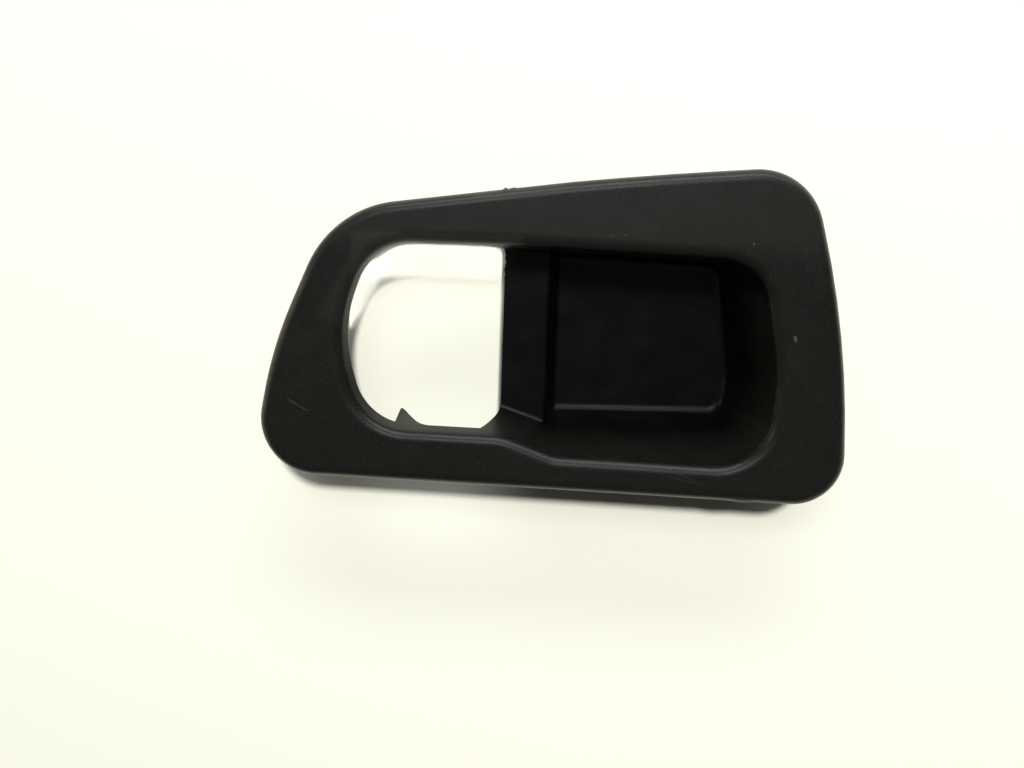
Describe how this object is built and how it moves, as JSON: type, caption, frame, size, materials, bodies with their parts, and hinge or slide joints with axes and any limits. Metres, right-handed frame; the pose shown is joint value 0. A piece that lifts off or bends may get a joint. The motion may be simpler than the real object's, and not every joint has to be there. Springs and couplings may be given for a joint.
{
  "type": "door handle trim cover",
  "caption": "Moulded trim cover round a car's inside door handle, with a window for the lever, a raised ledge and a deep finger pocket.",
  "frame": {"origin": "middle of the outline seen from the front, on the plane of the finger pocket's rear face", "axes": "+X along the length towards the finger pocket's closed end, +Y towards the long slanting top edge, +Z out of the face"},
  "size_m": [0.1424, 0.0786, 0.026],
  "materials": {
    "black_plastic": "fine matte grain, lightly worn"
  },
  "bodies": {
    "root": {"trim_cover": "black_plastic"}
  },
  "joints": []
}
